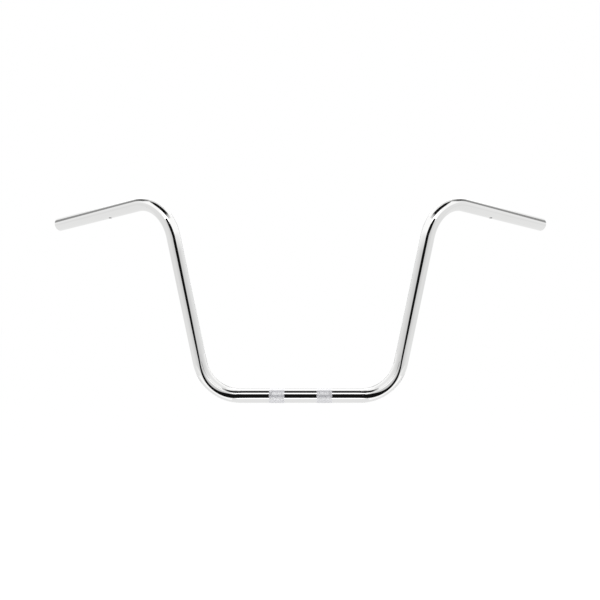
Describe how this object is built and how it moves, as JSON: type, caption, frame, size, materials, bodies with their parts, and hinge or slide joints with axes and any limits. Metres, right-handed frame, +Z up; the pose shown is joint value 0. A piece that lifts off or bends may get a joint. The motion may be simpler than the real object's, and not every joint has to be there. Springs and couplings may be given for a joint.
{
  "type": "ape hanger handlebar",
  "caption": "Chromed one-piece tubular motorcycle handlebar with tall outward-leaning legs, swept-back grip ends and knurled bands where risers clamp the base.",
  "frame": {"origin": "middle of the base, on the tube's axis, halfway between the two knurled clamp bands", "axes": "+X along the base to the right grip as the viewer of the front sees it, +Y back towards the rider, +Z up in the plane of the legs"},
  "size_m": [0.991, 0.1977, 0.3781],
  "materials": {
    "chrome": "bright decorative chrome plate, polished, with satin knurled bands"
  },
  "bodies": {
    "root": {"handlebar": "chrome"}
  },
  "joints": []
}
